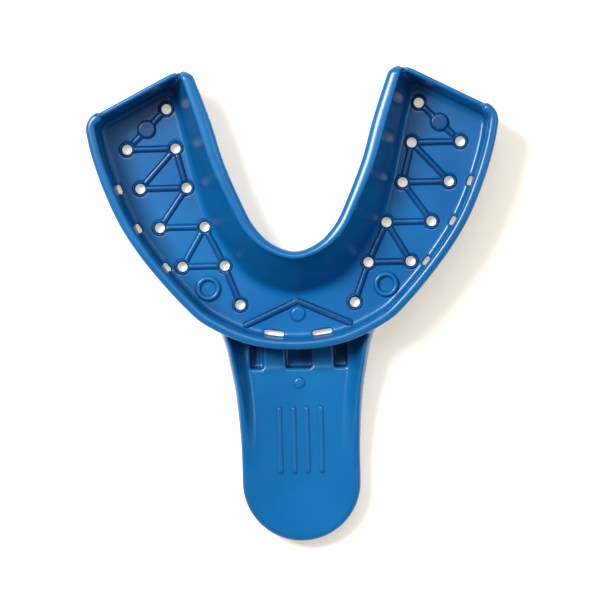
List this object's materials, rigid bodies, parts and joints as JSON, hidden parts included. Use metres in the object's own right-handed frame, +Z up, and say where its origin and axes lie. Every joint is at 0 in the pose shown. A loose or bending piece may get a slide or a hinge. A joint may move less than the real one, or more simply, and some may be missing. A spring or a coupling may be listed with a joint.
{
  "type": "impression tray",
  "caption": "Full-arch lower dental impression tray: horseshoe trough with a perforated ribbed floor, rolled rims and a scooped front handle.",
  "frame": {"origin": "under the middle of the tray's footprint, on the plane of the floor's underside", "axes": "+Z up out of the trough, +Y from the handle towards the heels, +X to the right of someone who looks along +Y"},
  "size_m": [0.0806, 0.093, 0.016],
  "materials": {
    "tray_plastic": "semi-gloss injection-moulded polystyrene, blue"
  },
  "bodies": {
    "root": {"buccal_flange_front": "tray_plastic", "buccal_flange_left": "tray_plastic", "buccal_flange_right": "tray_plastic", "buccal_rim": "tray_plastic", "chevron_rib": "tray_plastic", "front_boss": "tray_plastic", "grip_ridge_1": "tray_plastic", "grip_ridge_2": "tray_plastic", "grip_ridge_3": "tray_plastic", "grip_ridge_4": "tray_plastic", "handle_blade": "tray_plastic", "handle_mark": "tray_plastic", "handle_rail_left": "tray_plastic", "handle_rail_right": "tray_plastic", "heel_boss_left": "tray_plastic", "heel_boss_right": "tray_plastic", "heel_wall_left": "tray_plastic", "heel_wall_right": "tray_plastic", "lingual_flange": "tray_plastic", "lingual_rim": "tray_plastic", "rib_network_left": "tray_plastic", "rib_network_right": "tray_plastic", "root_web_left": "tray_plastic", "root_web_right": "tray_plastic", "tissue_stop_left": "tray_plastic", "tissue_stop_right": "tray_plastic", "tray_floor": "tray_plastic"}
  },
  "joints": []
}
